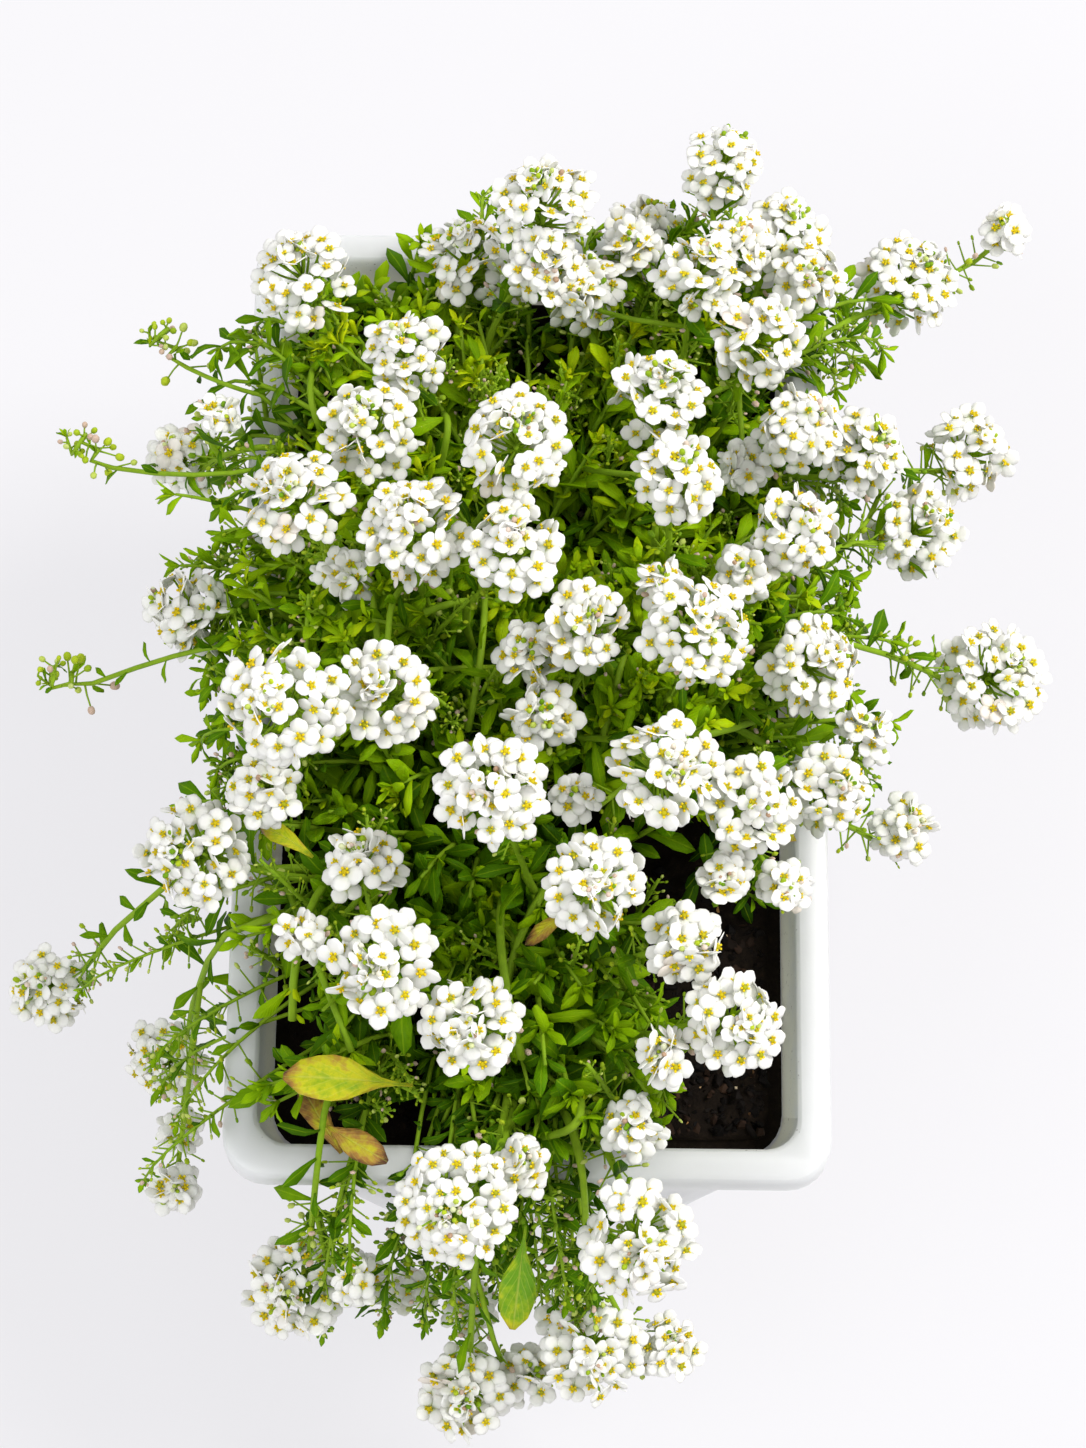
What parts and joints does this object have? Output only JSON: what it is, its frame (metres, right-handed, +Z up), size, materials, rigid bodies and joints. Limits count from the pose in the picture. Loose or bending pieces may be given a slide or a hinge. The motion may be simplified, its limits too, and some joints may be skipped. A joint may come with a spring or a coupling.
{
  "type": "alyssum in a tray",
  "caption": "Sweet alyssum with domed white flower heads and small green leaves, growing in a tapered rectangular white plastic planter with a wide rounded rim, some stems trailing over it.",
  "frame": {"origin": "centre of the flat underside of the tray, on the surface it stands on", "axes": "+Z up from the tray's base, +Y along the tray's length towards the back, +X across its width to the right"},
  "size_m": [0.2276, 0.2729, 0.1993],
  "materials": {
    "tray_plastic": "off-white, slightly glossy, water-stained inside the rim",
    "potting_mix": "moist, dark and grainy, with bark and pale specks",
    "leaves": "thin fresh green leaves, slightly waxy",
    "petals": "thin white petals with yellow-green centres, on green stalks",
    "buds": "closed green buds on green stalks",
    "flower_centres": "yellow anthers around a green middle",
    "stems": "fresh green stems and thin flower stalks",
    "dry_leaves": "yellowed and brown dry leaves"
  },
  "bodies": {
    "root": {"bud_stalk_1": "buds", "bud_stalk_2": "buds", "bud_stalk_3": "buds", "flower_head_01": "petals", "flower_head_02": "petals", "flower_head_03": "petals", "flower_head_04": "petals", "flower_head_05": "petals", "flower_head_06": "petals", "flower_head_07": "petals", "flower_head_08": "petals", "flower_head_09": "petals", "flower_head_10": "petals", "flower_head_11": "petals", "flower_head_12": "petals", "flower_head_13": "petals", "flower_head_14": "petals", "flower_head_15": "petals", "flower_head_16": "petals", "flower_head_17": "petals", "flower_head_18": "petals", "flower_head_19": "petals", "flower_head_20": "petals", "flower_head_21": "petals", "flower_head_22": "petals", "flower_head_23": "petals", "flower_head_24": "petals", "flower_head_25": "petals", "flower_head_26": "petals", "flower_head_27": "petals", "flower_head_28": "petals", "flower_head_29": "petals", "flower_head_30": "petals", "flower_head_31": "petals", "flower_head_32": "petals", "flower_head_33": "petals", "flower_head_34": "petals", "flower_head_35": "petals", "flower_head_36": "petals", "flower_head_37": "petals", "flower_head_38": "petals", "flower_head_39": "petals", "flower_head_40": "petals", "flower_head_41": "petals", "flower_head_42": "petals", "flower_head_43": "petals", "flower_head_44": "petals", "flower_head_45": "petals", "flower_head_46": "petals", "flower_head_47": "petals", "flower_head_48": "petals", "foliage_back_left": "leaves", "foliage_back_right": "leaves", "foliage_front_centre": "leaves", "foliage_front_left": "leaves", "foliage_middle_left": "leaves", "foliage_middle_right": "leaves", "soil": "potting_mix", "tray": "tray_plastic"}
  },
  "joints": []
}
